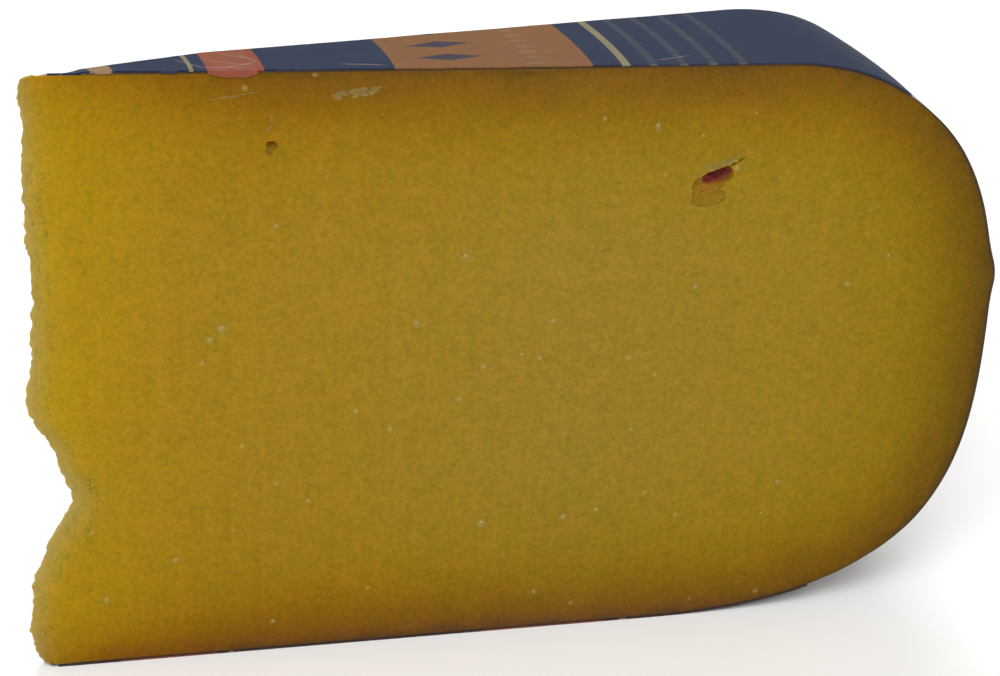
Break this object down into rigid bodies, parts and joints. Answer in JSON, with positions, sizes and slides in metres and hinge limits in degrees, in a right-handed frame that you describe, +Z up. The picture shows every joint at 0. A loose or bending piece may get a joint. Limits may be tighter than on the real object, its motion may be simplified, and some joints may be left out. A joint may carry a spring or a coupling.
{
  "type": "cheese wedge",
  "caption": "Wedge of aged semi-hard yellow cheese standing on its base, with a rounded rind, a rough broken tip, an open eye and ring-printed paper labels on top and base.",
  "frame": {"origin": "under the middle of the wedge's bounding box, on the surface it stands on", "axes": "+X from the broken tip towards the rounded rind, along the line that halves the wedge; +Y towards the far cut face; +Z up, along the wheel's axis"},
  "size_m": [0.1704, 0.0362, 0.1101],
  "materials": {
    "cheese": "waxy amber-yellow cut face that darkens towards the rind, with a thin yellow-brown coat on the rim",
    "label_top": "satin navy paper with printed rings of orange, coral, cream and thin gold",
    "label_base": "satin navy paper with printed rings, as on the top"
  },
  "bodies": {
    "root": {"cheese": "cheese", "label_top": "label_top", "label_base": "label_base"}
  },
  "joints": []
}
